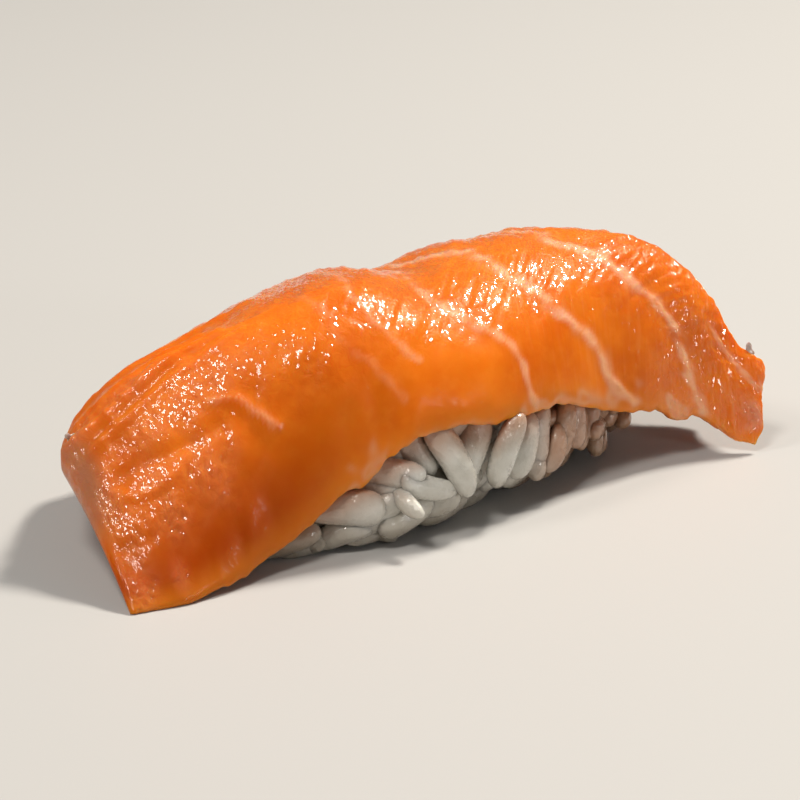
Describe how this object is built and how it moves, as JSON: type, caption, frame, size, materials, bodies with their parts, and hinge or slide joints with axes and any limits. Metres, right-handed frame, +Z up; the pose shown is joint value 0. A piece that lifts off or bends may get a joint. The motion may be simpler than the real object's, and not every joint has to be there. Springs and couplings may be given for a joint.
{
  "type": "salmon nigiri",
  "caption": "Slice of raw salmon draped over a pressed block of rice, its front left corner on the table and its tail hanging free.",
  "frame": {"origin": "middle of the underside of the whole piece, on the surface it rests on", "axes": "+X along the piece towards the free tail of the slice, +Y to its back, +Z up"},
  "size_m": [0.0714, 0.0304, 0.0222],
  "materials": {
    "salmon": "wet and glossy, orange flesh with pale bands of fat",
    "rice": "moist, slightly translucent off-white grains"
  },
  "bodies": {
    "root": {"salmon": "salmon", "rice": "rice"}
  },
  "joints": []
}
